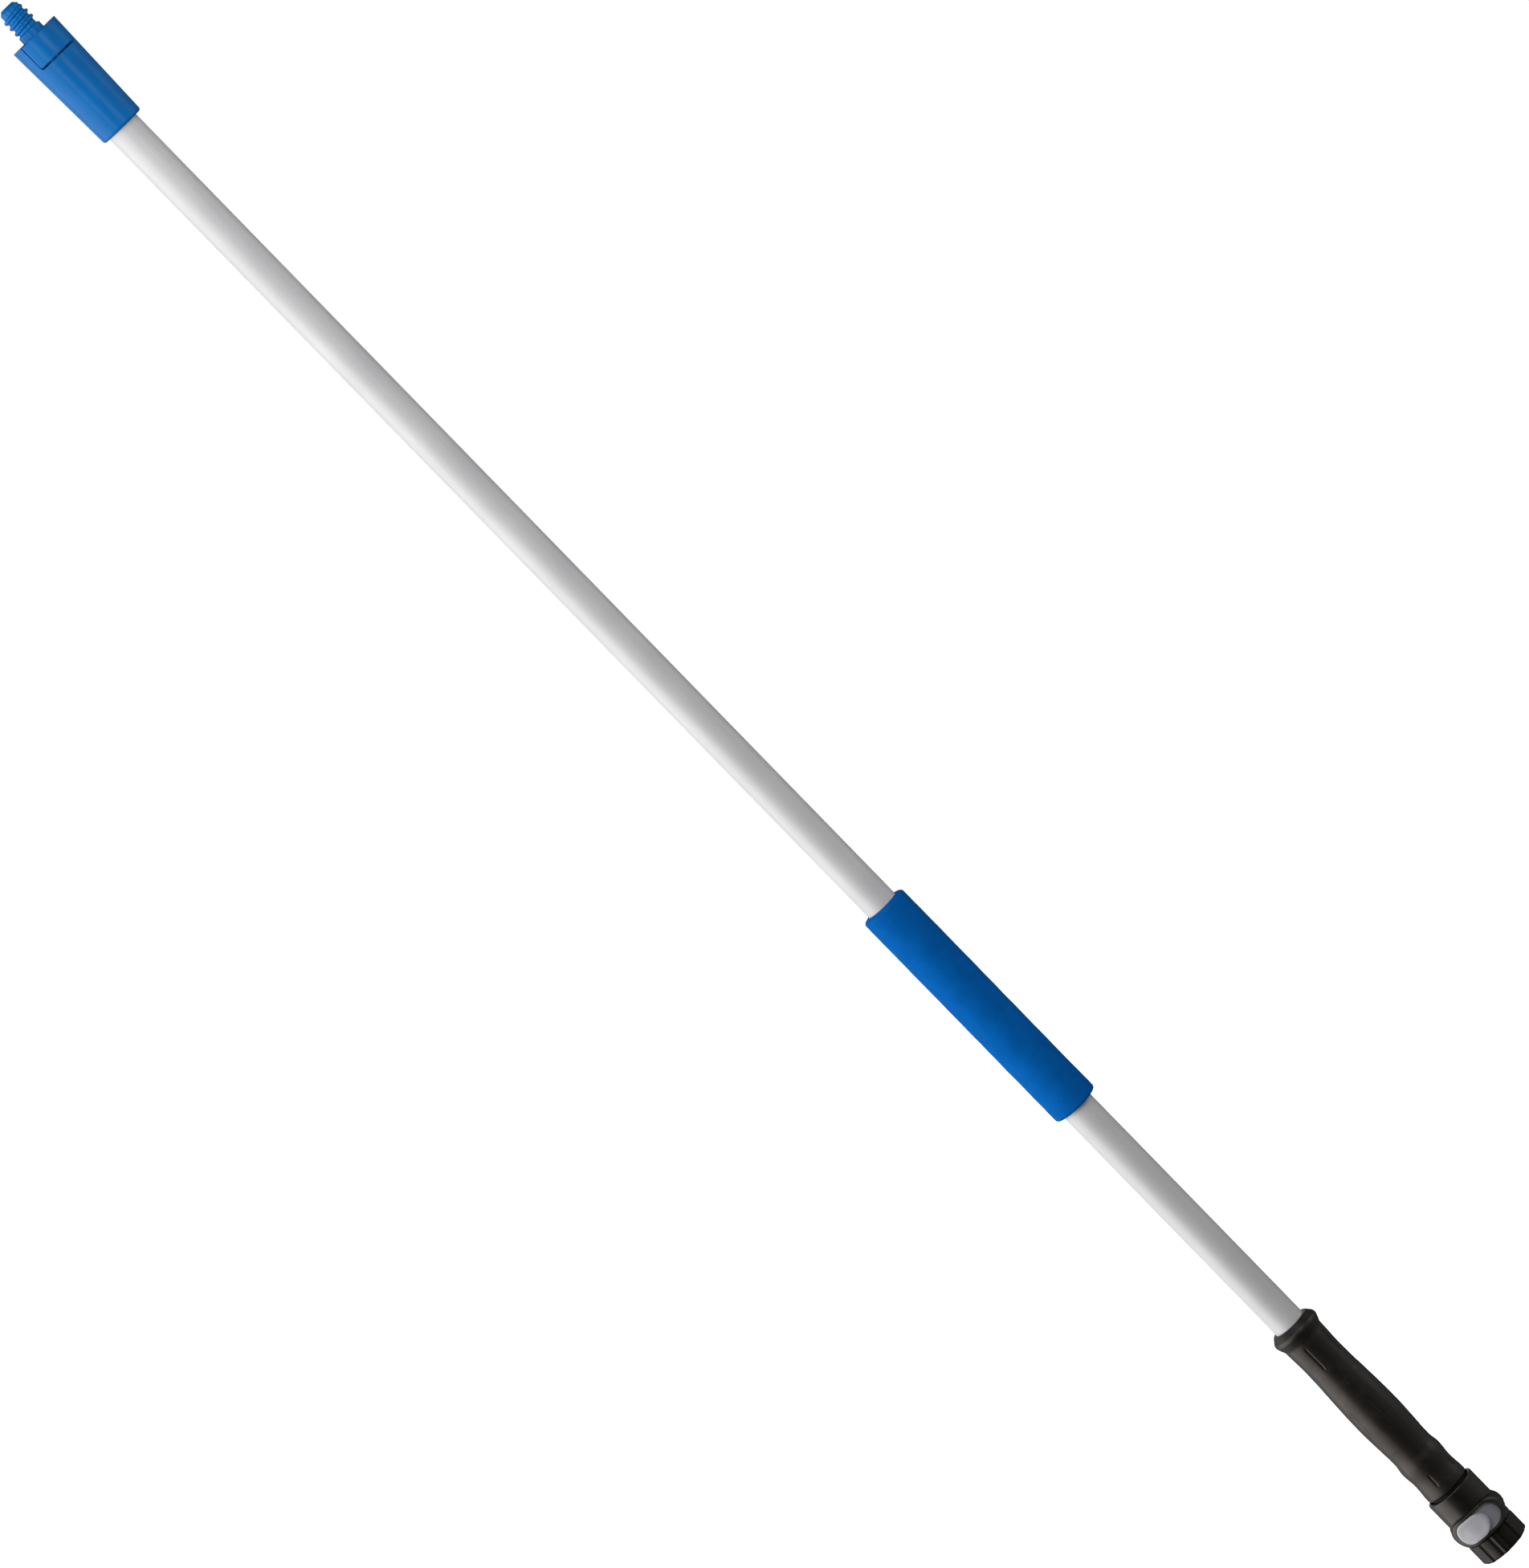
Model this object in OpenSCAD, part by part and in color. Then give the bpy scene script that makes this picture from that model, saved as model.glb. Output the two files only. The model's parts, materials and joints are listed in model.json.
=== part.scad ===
// Flow-through pole: screw tip, aluminium tube, foam hand sleeve, soft grip and a thumb-operated hose valve.
// +Z runs along the pole from the hose end to the screw tip.
// The origin is the centre of the hose nut's open face.
// The thumb slider faces -Y and moves sideways on a curve. All sizes are in millimetres.

/* [Pole] */
// Overall length, from the hose nut's open face to the top of the stud
pole_length = 1524; // [1200:1:1830]
// Outside diameter of the aluminium tube
tube_od = 25.4; // [25:0.05:25.6]
// Wall thickness of the tube
tube_wall = 1.25; // [1:0.05:1.6]
// Radial room between pieces that are pushed or glued together
fit = 0.05; // [0.03:0.01:0.08]

/* [Screw tip] */
// Major diameter of the stud's thread
stud_od = 19.05; // [18.5:0.05:19.3]
// Thread pitch, five threads to the inch
thread_pitch = 5.08; // [4.8:0.02:5.3]
// Depth of the moulded thread
thread_depth = 1.62; // [1.4:0.02:1.8]
// Height of the stud's top above the collar
stud_height = 27.2; // [26.5:0.1:30]
// Height of the plain neck under the thread
neck_height = 4.8; // [4.5:0.1:5]
// Diameter of the water outlet through the stud
outlet_d = 6; // [4:0.5:7]
// Direction that the front tongue of the collar faces, in degrees from +X
tongue_turn = -70; // [-90:1:-60]
// Share of the collar that each of the tip's two tongues takes up, in degrees
tongue_angle = 110; // [85:1:112]
// Height of the split collar
collar_height = 22.2; // [20:0.1:24]
// How far the tongues end below the socket's ears
tongue_drop = 0.8; // [0.4:0.1:1]
// Width of the gap beside each tongue
seam_gap = 1; // [0.5:0.05:1.2]
// Height of the gap under each tongue
step_gap = 1.5; // [0.8:0.1:1.8]

/* [Tip socket] */
// Length of the tapered socket, with its collar
socket_length = 88.3; // [84:0.1:95]
// Radius of the socket at the collar's rim
socket_top_r = 19.6; // [19.2:0.1:20.5]
// Radius of the socket at its lower end
socket_bottom_r = 17.4; // [16.8:0.1:18]

/* [Foam sleeve] */
// Height of the sleeve's lower end
foam_z = 445; // [260:1:700]
// Length of the sleeve
foam_length = 200; // [120:1:260]
// Outside radius of the sleeve
foam_r = 18.6; // [17:0.1:21]
// Rounding of the sleeve's ends
foam_round = 2.2; // [1:0.1:3]

/* [Grip] */
// Height of the flare's widest ring above the valve body's rim
grip_flare_z = 159.1; // [157:0.1:170]
// Radius of the flare
grip_flare_r = 19.4; // [18.8:0.1:20.5]
// Radius of the palm swell
grip_belly_r = 17.95; // [17.6:0.05:18.6]
// Radius of the finger bulge
grip_bulge_r = 17.85; // [17.4:0.05:18.3]

/* [Valve body] */
// Outside radius of the body
body_r = 20; // [19.6:0.1:20.6]
// Height of the body's cup rim
body_top = 59.4; // [59:0.1:62]
// Height of the oval boss's centre
boss_z = 29.5; // [29.3:0.1:29.7]
// Half the width of the oval boss
boss_half_w = 22.8; // [22.6:0.1:24]
// Half the height of the oval boss
boss_half_h = 11.8; // [11.6:0.05:11.85]
// Distance of the boss's curved front from the pole's axis, at its middle
boss_front = 23.4; // [23.2:0.1:23.8]
// Distance of the slider's turning axis behind the pole's axis
bend_back = 4.6; // [4.4:0.1:5]
// How far the boss reaches behind the pole's axis
boss_back = 4; // [2:0.5:8]

/* [Slider and valve] */
// Angle that the thumb slider moves through, from closed to open
slider_angle = 25; // [23:0.5:25]
// Length of the thumb pad
pad_length = 25.4; // [25:0.1:25.4]
// Height of the thumb pad
pad_height = 18.3; // [18:0.1:18.6]
// Radius of the valve ball
ball_r = 8.5; // [8.4:0.05:8.6]
// Radius of the water way through the ball
ball_bore_r = 3.5; // [3:0.1:3.6]
// Height of the valve stem's axis above the boss's centre
stem_rise = 2.5; // [2.4:0.05:2.6]
// Radius of the valve stem
stem_r = 3.2; // [3.1:0.05:3.3]

/* [Hose nut] */
// Outside radius of the nut, over its ribs
nut_r = 20.2; // [19.8:0.1:20.6]
// Height of the ribs above the nut's wall
rib_height = 0.8; // [0.4:0.1:1.2]
// Height of the nut
nut_height = 17; // [16.9:0.05:17.1]
// Number of finger ribs round the nut
nut_ribs = 8; // [6:1:12]
// Direction of the first rib, in degrees from +X
rib_turn = -87; // [-110:1:-70]
// Minor radius of the garden-hose thread
hose_thread_r = 12.45; // [12.3:0.05:12.5]
// Depth of the thread bore from the nut's open face
hose_bore_depth = 8.9; // [8.5:0.1:8.9]

/* [Hidden] */
$fn = 96;
over = 1;  // how far a cutter runs past the face it opens

tube_r = tube_od / 2;
tube_bore_r = tube_r - tube_wall;
socket_bore_r = tube_r + fit;

// Heights at the tip, measured down from the top of the stud
stud_r = stud_od / 2;
thread_root_r = stud_r - thread_depth;
collar_z = pole_length - stud_height;
step_z = collar_z - collar_height;
socket_z = collar_z - socket_length;
tip_core_r = 12.1;
spigot_r = 9;
spigot_length = 12;
spigot_z = step_z - spigot_length;
tube_top = spigot_z - 0.6;
socket_gland_z = tube_top - 12;
tip_gland_z = step_z - 6;

// Heights in the hose nut and the tailpiece
flange_z = 12;
flange_h = 2;
flange_r = 12.2;
washer_pocket_r = 12.9;
neck_r = 10;
swivel_gap = 0.05;
web_z = flange_z + flange_h + swivel_gap;
tailpiece_bore_r = 4.5;
tailpiece_gland_z = 20.2;

// Heights in the valve body
body_z = nut_height + 0.6;
stem_z = boss_z + stem_rise;
seat_outer = ball_r + 0.4;
seat_inner = 6;
chamber_r = ball_r + 0.4;
chamber_z = stem_z - seat_outer;
chamber_top = stem_z + seat_outer;
tube_z = chamber_top + 5;
tube_gland_z = tube_z + 5;
cup_z = body_top - 5;
cup_r = 17.6;
collar_r = 14.6;
collar_top = body_top + 34.5;

// The slider's mechanism. Fronts are distances in front of the pole's axis
window_half_w = 18.4;
window_half_h = 9.6;
pocket_half_w = 12;
pocket_front = 12.8;
crank_front = pocket_front + 0.1;
crank_h = 1.4;
fork_front = crank_front + crank_h + 1.45;
fork_h = 1.7;
pin_front = fork_front + 1;

// Radii about the slider's turning axis
boss_bend_r = boss_front + bend_back;
pad_bend_r = boss_bend_r + 0.9;
pad_h = 3.4;
track_bend_r = pad_bend_r - pad_h - 0.1;
track_h = 1.5;
pin_bend_r = fork_front + 0.5 + bend_back;
crank_r = pin_bend_r * sin(slider_angle / 2) / sin(45);  // the crank turns through 90 degrees
pin_r = 1.2;
pin_slack = 0.35;  // takes up the difference between the pin's path and the slider's
key_w = 1.6;       // the rib that joins the pad to the fork
key_h = 2.6;
key_z = stem_z - 0.6;
key_slot_half_w = track_bend_r * sin(slider_angle / 2) + key_w / 2 + 0.15;

// O-rings: section radius for each gland
seal_r = 0.85;
gland_depth = 2 * seal_r + 0.06;
stem_seal_r = 0.5;
stem_seal_front = 11.2;
glue_gap = 0.03;  // radial room in the glued joint between the tailpiece and the body

// Points along an arc, for outlines
function arc(c, r, a0, a1, n = 6) =
  [for (i = [0:n]) let (a = a0 + (a1 - a0) * i / n) [c[0] + r * cos(a), c[1] + r * sin(a)]];

// Radius of the socket's taper at a height
function taper_r(z) =
  socket_bottom_r + (socket_top_r - socket_bottom_r) * (z - socket_z) / socket_length;

// An outline that eases from each station to the next, as [radius, height] points
function eased(stations, steps = 8) = [
  for (i = [0:len(stations) - 2], k = [0:steps - 1])
    let (a = stations[i], b = stations[i + 1], t = k / steps, e = (1 - cos(180 * t)) / 2)
      [a[1] + (b[1] - a[1]) * e, a[0] + (b[0] - a[0]) * t]
];

// A ring of round section about the pole's axis
module o_ring(mean_r, section_r, z) {
  translate([0, 0, z])
    rotate_extrude()
      translate([mean_r, 0])
        circle(section_r);
}

// A square groove for an O-ring, cut from r_in to r_out
module gland(r_in, r_out, z, half_h) {
  translate([0, 0, z - half_h])
    rotate_extrude()
      translate([r_in, 0])
        square([r_out - r_in, 2 * half_h]);
}

// A shape with round ends, drawn flat
module stadium(half_w, half_h) {
  square([2 * (half_w - half_h), 2 * half_h], center = true);
  for (side = [-1, 1])
    translate([side * (half_w - half_h), 0])
      circle(half_h);
}

// Puts a flat drawing at the front: its X stays X, its Y becomes Z, and it rises towards -Y
module at_front(distance, z) {
  translate([0, -distance, z])
    rotate([90, 0, 0])
      children();
}

// Keeps only what lies between two radii about the slider's turning axis
module bend(inner_r, outer_r) {
  intersection() {
    translate([0, bend_back, 0])
      difference() {
        cylinder(r = outer_r, h = 2 * boss_z);
        translate([0, 0, -over])
          cylinder(r = inner_r, h = 2 * (boss_z + over));
      }
    children();
  }
}

// Turns the slider's pieces from the middle of their travel to the closed end
module closed() {
  translate([0, bend_back, 0])
    rotate([0, 0, -slider_angle / 2])
      translate([0, -bend_back, 0])
        children();
}

// A helical ridge of trapezoid section that fades out at both ends
module helical_ridge(root_r, crest_r, pitch, root_w, crest_w, turns, start_angle) {
  steps = 30;
  fade = steps / 5;
  count = round(turns * steps);
  points = [
    for (i = [0:count])
      let (
        a = start_angle + 360 * i / steps,
        z = pitch * i / steps,
        f = min(1, (i + 0.5) / fade, (count - i + 0.5) / fade),
        r = root_r + (crest_r - root_r) * f,
        inner_r = root_r - 0.6
      )
        for (p = [[inner_r, -root_w / 2], [r, -crest_w / 2], [r, crest_w / 2], [inner_r, root_w / 2]])
          [p[0] * cos(a), p[0] * sin(a), z + p[1]]
  ];
  sides = [
    for (i = [0:count - 1], k = [0:3])
      let (a = 4 * i + k, b = 4 * i + (k + 1) % 4)
        for (face = [[a, b, a + 4], [b, b + 4, a + 4]]) face
  ];
  last = 4 * count;
  ends = [[0, 2, 1], [0, 3, 2], [last, last + 1, last + 2], [last, last + 2, last + 3]];
  polyhedron(points, concat(sides, ends), convexity = 10);
}

// The threaded stud, its neck, two tongues of the collar and the spigot below, on one water way
module screw_tip() {
  nose_h = 2.8;
  nose_r = 5;
  seam_turn = asin(seam_gap / socket_top_r);
  tongue_z = step_z + step_gap;
  tongue_top = collar_z - tongue_drop;
  color("royalblue")
    difference() {
      union() {
        rotate_extrude()
          polygon([
            [0, spigot_z], [spigot_r - fit - 0.6, spigot_z], [spigot_r - fit, spigot_z + 0.6],
            [spigot_r - fit, step_z], [tip_core_r, step_z], [tip_core_r, tongue_top],
            [stud_r, tongue_top], [stud_r, collar_z + neck_height],
            [thread_root_r, collar_z + neck_height + 0.5], [thread_root_r, pole_length - nose_h],
            [nose_r, pole_length], [0, pole_length]
          ]);
        for (side = [0, 180])
          rotate([0, 0, tongue_turn + side - tongue_angle / 2 + seam_turn])
            rotate_extrude(angle = tongue_angle - 2 * seam_turn)
              polygon([
                [tip_core_r - 0.5, tongue_z], [taper_r(tongue_z) + 0.4, tongue_z],
                [taper_r(tongue_top), tongue_top], [tip_core_r - 0.5, tongue_top]
              ]);
        translate([0, 0, collar_z + neck_height + 1.2])
          helical_ridge(thread_root_r, stud_r, thread_pitch, 3.6, 1.7, 3.1, 10);
      }
      translate([0, 0, spigot_z - over])
        cylinder(r = outlet_d / 2, h = pole_length);
      gland(spigot_r - gland_depth, spigot_r + over, tip_gland_z, seal_r + 0.2);
    }
}

module tip_seal() {
  color("black")
    o_ring(spigot_r - seal_r, seal_r, tip_gland_z);
}

// Tapered socket on the tube, with the two ears that stand between the tip's tongues
module tip_socket() {
  corner = 2.2;
  inner_r = tip_core_r + 0.1;
  root = 3;  // how deep the ears are rooted in the socket
  ear_angle = 180 - tongue_angle;
  color("royalblue")
    difference() {
      union() {
        rotate_extrude()
          polygon(concat(
            [[spigot_r, socket_z]],
            arc([taper_r(socket_z + corner) - corner, socket_z + corner], corner, -90, 0),
            [[taper_r(step_z), step_z], [spigot_r, step_z]]
          ));
        for (side = [90, 270])
          rotate([0, 0, tongue_turn + side - ear_angle / 2])
            rotate_extrude(angle = ear_angle)
              polygon([
                [inner_r, step_z - root], [inner_r + root, step_z - root], [inner_r + root, step_z],
                [taper_r(step_z), step_z], [socket_top_r, collar_z], [inner_r, collar_z]
              ]);
      }
      translate([0, 0, socket_z - over])
        cylinder(r = socket_bore_r, h = tube_top - socket_z + over);
      gland(tube_r, tube_r + gland_depth, socket_gland_z, seal_r + 0.2);
    }
}

module socket_seal() {
  color("black")
    o_ring(tube_r + seal_r + 0.02, seal_r, socket_gland_z);
}

module pole_tube() {
  color("silver")
    translate([0, 0, tube_z])
      difference() {
        cylinder(r = tube_r, h = tube_top - tube_z);
        translate([0, 0, -over])
          cylinder(r = tube_bore_r, h = pole_length);
      }
}

module foam_sleeve() {
  inner = foam_r - foam_round;
  color("dodgerblue")
    translate([0, 0, foam_z])
      rotate_extrude()
        polygon(concat(
          [[tube_r + fit, 0]],
          arc([inner, foam_round], foam_round, -90, 0),
          arc([inner, foam_length - foam_round], foam_round, 0, 90),
          [[tube_r + fit, foam_length]]
        ));
}

// Soft grip: it starts inside the body's cup, and swells and narrows up to the flare
module grip() {
  bore_r = tube_r + fit;
  flare_top = body_top + grip_flare_z + 6.9;
  stations = [
    [3.4, 17.8], [17.1, 17], [29.4, grip_bulge_r], [38.6, 16.8], [74.6, grip_belly_r],
    [132.6, 16.4], [151.1, 16.95], [grip_flare_z, grip_flare_r]
  ];
  outline = [for (p = eased(stations)) [p[0], p[1] + body_top]];
  color("dimgray")
    rotate_extrude()
      polygon(concat(
        [[collar_r + fit, cup_z + 0.1], [15.9, cup_z + 0.1], [15.9, body_top + 0.6]],
        arc([15.3, body_top + 3.1], 2.5, -75, -8, 5),
        outline,
        [[grip_flare_r, body_top + grip_flare_z], [grip_flare_r - 0.8, body_top + grip_flare_z + 2.4],
         [bore_r + 1, flare_top], [bore_r, flare_top], [bore_r, collar_top + 0.2],
         [collar_r + fit, collar_top + 0.2]]
      ));
}

// Body of the hose valve: ball chamber, tube socket, cup for the grip and the slider's boss
module valve_body() {
  lip = 1.2;
  color("black")
    difference() {
      union() {
        rotate_extrude()
          polygon(concat(
            [[0, body_z], [body_r, body_z]],
            arc([body_r - lip, body_top - lip], lip, 0, 90),
            [[0, body_top]]
          ));
        translate([0, 0, cup_z - over])
          cylinder(r = collar_r, h = collar_top - cup_z + over);
        bend(0, boss_bend_r)
          at_front(-boss_back, boss_z)
            linear_extrude(boss_front + boss_back + over)
              stadium(boss_half_w, boss_half_h);
      }
      cylinder(r = neck_r + glue_gap, h = chamber_z);
      translate([0, 0, chamber_z - over])
        cylinder(r = chamber_r, h = chamber_top - chamber_z + over);
      cylinder(r = tailpiece_bore_r, h = tube_z + over);
      translate([0, 0, tube_z])
        cylinder(r = socket_bore_r, h = collar_top);
      gland(tube_r, tube_r + gland_depth, tube_gland_z, seal_r + 0.2);
      translate([0, 0, cup_z])
        difference() {
          cylinder(r = cup_r, h = body_top);
          cylinder(r = collar_r, h = body_top);
        }
      bend(track_bend_r - track_h, boss_bend_r + over)
        at_front(track_bend_r / 3, boss_z)
          linear_extrude(boss_front)
            stadium(window_half_w, window_half_h);
      at_front(pocket_front, boss_z)
        linear_extrude(boss_front)
          stadium(pocket_half_w, window_half_h);
      at_front(0, stem_z)
        cylinder(r = stem_r + 0.05, h = pocket_front + over);
    }
}

module tube_seal() {
  color("black")
    o_ring(tube_r + seal_r + 0.02, seal_r, tube_gland_z);
}

// Curved thumb pad at the closed end of its travel, with the rib that reaches through the track
module thumb_slider() {
  color("darkgray")
    closed() {
      bend(pad_bend_r - pad_h, pad_bend_r)
        at_front(0, boss_z)
          linear_extrude(pad_bend_r)
            stadium(pad_length / 2, pad_height / 2);
      at_front(fork_front + 0.1, key_z)
        linear_extrude(track_bend_r + 0.6 - bend_back - fork_front)
          square([key_w, key_h], center = true);
    }
}

// Fork behind the track: clipped to the pad's rib, with an open slot for the crank's pin
module slider_fork() {
  half_w = 3.4;
  bottom = -8.4;
  top = 1.8;
  slot_w = pin_r + pin_slack;
  slot_top = -crank_r * cos(45) + pin_slack;
  color("gainsboro")
    closed()
      at_front(fork_front, stem_z)
        linear_extrude(fork_h)
          difference() {
            translate([-half_w, bottom])
              square([2 * half_w, top - bottom]);
            translate([0, slot_top])
              circle(slot_w);
            translate([-slot_w, bottom - over])
              square([2 * slot_w, slot_top - bottom + over]);
            translate([0, key_z - stem_z])
              square([key_w + 0.04, key_h + 0.04], center = true);
          }
}

// Curved floor plate of the slider's window
module slider_track() {
  color("slategray")
    bend(track_bend_r - track_h + 0.02, track_bend_r)
      at_front(track_bend_r / 3, boss_z)
        linear_extrude(boss_front)
          difference() {
            stadium(window_half_w - fit, window_half_h - fit);
            translate([0, key_z - boss_z])
              square([2 * key_slot_half_w, key_h + 0.2], center = true);
          }
}

// Quarter-turn stem: tongue in the ball, shaft with its gland, and a crank at the front
module valve_stem() {
  tongue_back = 6.65;
  shaft_back = ball_r + 0.2;
  arm_w = 2.9;
  color("ivory")
    difference() {
      union() {
        at_front(shaft_back, stem_z)
          cylinder(r = stem_r, h = crank_front - shaft_back);
        at_front(tongue_back, stem_z)
          linear_extrude(shaft_back - tongue_back + over)
            square([5.6, 2.4], center = true);
        at_front(crank_front, stem_z) {
          cylinder(r = 4.4, h = crank_h);
          rotate([0, 0, 225]) {
            translate([0, -arm_w / 2, 0])
              cube([crank_r, arm_w, crank_h]);
            translate([crank_r, 0, 0]) {
              cylinder(r = arm_w / 2, h = crank_h);
              cylinder(r = pin_r, h = pin_front - crank_front);
            }
          }
        }
      }
      at_front(stem_seal_front, stem_z)
        gland(stem_r - 2 * stem_seal_r, stem_r + over, 0, stem_seal_r + 0.15);
    }
}

module stem_seal() {
  color("black")
    at_front(stem_seal_front, stem_z)
      o_ring(stem_r - stem_seal_r, stem_seal_r, 0);
}

// Ball with its water way across the pole: closed. A quarter turn lines it up with the tube
module valve_ball() {
  slot_back = 6.6;
  color("white")
    translate([0, 0, stem_z])
      difference() {
        sphere(ball_r);
        rotate([0, 90, 0])
          cylinder(r = ball_bore_r, h = 3 * ball_r, center = true);
        translate([-ball_r, -ball_r - over, -1.25])
          cube([2 * ball_r, ball_r + over - slot_back, 2.5]);
      }
}

// The rings that seal above and below the ball
module ball_seats() {
  way_r = 4;
  color("whitesmoke")
    for (side = [0, 180])
      translate([0, 0, stem_z])
        rotate([side, 0, 0])
          difference() {
            translate([0, 0, seat_inner])
              cylinder(r = chamber_r - 0.02, h = seat_outer - seat_inner);
            cylinder(r = way_r, h = 2 * ball_r);
            sphere(ball_r + 0.05);
          }
}

// Hose tailpiece: the flange carries the swivel nut and the spigot closes the ball chamber
module tailpiece() {
  color("darkslategray")
    difference() {
      union() {
        translate([0, 0, flange_z])
          cylinder(r = flange_r, h = flange_h);
        translate([0, 0, flange_z])
          cylinder(r = neck_r, h = chamber_z - flange_z);
      }
      translate([0, 0, flange_z - over])
        cylinder(r = tailpiece_bore_r, h = chamber_z);
      gland(neck_r - gland_depth, neck_r + over, tailpiece_gland_z, seal_r + 0.2);
    }
}

module tailpiece_seal() {
  color("black")
    o_ring(neck_r - seal_r, seal_r, tailpiece_gland_z);
}

// Half outline of the nut's wall at a radius, rounded at its lower edge
module nut_wall(inner_r, outer_r) {
  edge = 1.4;
  polygon(concat(
    [[inner_r, 0]],
    arc([outer_r - edge, edge], edge, -90, 0),
    [[outer_r, nut_height], [inner_r, nut_height]]
  ));
}

// Swivel nut: ribbed outside, thread bore, washer pocket, and a web that turns on the tailpiece
module hose_nut() {
  rib_angle = 10;
  lead = 1;
  color("black")
    difference() {
      union() {
        rotate_extrude()
          nut_wall(0, nut_r - rib_height);
        for (i = [0:nut_ribs - 1])
          rotate([0, 0, i * 360 / nut_ribs + rib_turn - rib_angle / 2])
            rotate_extrude(angle = rib_angle)
              nut_wall(hose_thread_r + 2.5, nut_r);
      }
      translate([0, 0, -over])
        cylinder(r = hose_thread_r, h = hose_bore_depth + 2 * over);
      translate([0, 0, -0.01])
        cylinder(r1 = hose_thread_r + lead + 0.01, r2 = hose_thread_r, h = lead + 0.01);
      translate([0, 0, hose_bore_depth])
        cylinder(r = washer_pocket_r, h = web_z - hose_bore_depth);
      cylinder(r = neck_r + 0.06, h = nut_height + over);
    }
}

module hose_washer() {
  color("black")
    translate([0, 0, hose_bore_depth + 0.05])
      difference() {
        cylinder(r = washer_pocket_r - 0.15, h = flange_z - hose_bore_depth - 0.05);
        translate([0, 0, -over])
          cylinder(r = 7.5, h = flange_z);
      }
}

// Moulded debris screen: a ring crossed by bars in both directions
module inlet_screen() {
  ring_r = 7.4;
  bar = 0.5;
  floor_h = 0.8;
  height = 2.7;
  color("gainsboro")
    translate([0, 0, flange_z - height]) {
      difference() {
        cylinder(r = ring_r, h = height);
        translate([0, 0, -over])
          cylinder(r = ring_r - 0.8, h = height + 2 * over);
      }
      for (turn = [0, 90])
        rotate([0, 0, turn])
          for (i = [-2:2])
            translate([-sqrt(pow(ring_r - 0.4, 2) - pow(2.2 * i, 2)), 2.2 * i - bar / 2, height - floor_h])
              cube([2 * sqrt(pow(ring_r - 0.4, 2) - pow(2.2 * i, 2)), bar, floor_h]);
    }
}

screw_tip();
tip_seal();
tip_socket();
socket_seal();
pole_tube();
foam_sleeve();
grip();
valve_body();
tube_seal();
thumb_slider();
slider_fork();
slider_track();
valve_stem();
stem_seal();
valve_ball();
ball_seats();
tailpiece();
tailpiece_seal();
hose_nut();
hose_washer();
inlet_screen();
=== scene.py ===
"""Looks of the flow-through pole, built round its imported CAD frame. Shapes are in millimetres."""
import json
import math

import bmesh
import bpy
from mathutils import Matrix, Vector, noise


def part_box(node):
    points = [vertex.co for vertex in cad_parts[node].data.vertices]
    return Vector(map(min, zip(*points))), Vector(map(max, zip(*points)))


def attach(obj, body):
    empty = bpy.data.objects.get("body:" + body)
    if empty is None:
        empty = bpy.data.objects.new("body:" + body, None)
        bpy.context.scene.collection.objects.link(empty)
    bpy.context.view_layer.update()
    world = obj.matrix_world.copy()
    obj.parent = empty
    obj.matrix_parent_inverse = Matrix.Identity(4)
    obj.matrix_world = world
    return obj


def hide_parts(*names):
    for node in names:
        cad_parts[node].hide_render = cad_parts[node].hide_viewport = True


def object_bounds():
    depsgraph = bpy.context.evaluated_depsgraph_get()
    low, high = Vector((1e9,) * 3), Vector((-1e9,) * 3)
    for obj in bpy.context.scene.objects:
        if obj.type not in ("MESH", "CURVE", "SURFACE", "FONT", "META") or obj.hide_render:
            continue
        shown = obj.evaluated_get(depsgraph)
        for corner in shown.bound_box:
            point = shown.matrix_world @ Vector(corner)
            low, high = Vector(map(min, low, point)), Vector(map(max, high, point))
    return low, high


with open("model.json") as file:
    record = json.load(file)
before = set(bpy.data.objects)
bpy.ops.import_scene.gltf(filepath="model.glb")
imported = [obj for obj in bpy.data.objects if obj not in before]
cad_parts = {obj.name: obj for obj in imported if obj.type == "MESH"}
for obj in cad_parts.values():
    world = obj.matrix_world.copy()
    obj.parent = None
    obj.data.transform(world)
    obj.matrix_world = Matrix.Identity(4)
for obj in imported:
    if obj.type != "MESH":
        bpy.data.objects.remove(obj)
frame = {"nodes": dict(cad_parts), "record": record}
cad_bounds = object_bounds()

MM = 0.001
SMOOTH = math.radians(38)


# ---------------------------------------------------------------- mesh helpers

def box_mm(node):
    """Lowest and highest corner of a CAD node, in millimetres."""
    lo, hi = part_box(node)
    return lo / MM, hi / MM


def smoothstep(a, b, x):
    t = min(1.0, max(0.0, (x - a) / (b - a)))
    return t * t * (3 - 2 * t)


def rounded(corners, steps=5):
    """A closed outline from (x, y, radius) corners, with each corner rounded."""
    points, count = [], len(corners)
    for i, (x, y, radius) in enumerate(corners):
        here = Vector((x, y))
        if radius <= 0:
            points.append((x, y))
            continue
        back = (Vector(corners[i - 1][:2]) - here).normalized()
        ahead = (Vector(corners[(i + 1) % count][:2]) - here).normalized()
        half = back.angle(ahead) / 2
        centre = here + (back + ahead).normalized() * radius / math.sin(half)
        first = here + back * radius / math.tan(half) - centre
        last = here + ahead * radius / math.tan(half) - centre
        turn = first.angle(last) * (1 if first.x * last.y > first.y * last.x else -1)
        for k in range(steps + 1):
            c, s = math.cos(turn * k / steps), math.sin(turn * k / steps)
            points.append((centre.x + first.x * c - first.y * s, centre.y + first.x * s + first.y * c))
    return points


def denser(outline, longest):
    """The closed outline with its long sides cut into pieces no longer than longest."""
    out = []
    for (x0, y0), (x1, y1) in zip(outline, outline[1:] + outline[:1]):
        n = max(1, math.ceil(math.hypot(x1 - x0, y1 - y0) / longest))
        out += [(x0 + (x1 - x0) * k / n, y0 + (y1 - y0) * k / n) for k in range(n)]
    return out


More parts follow.
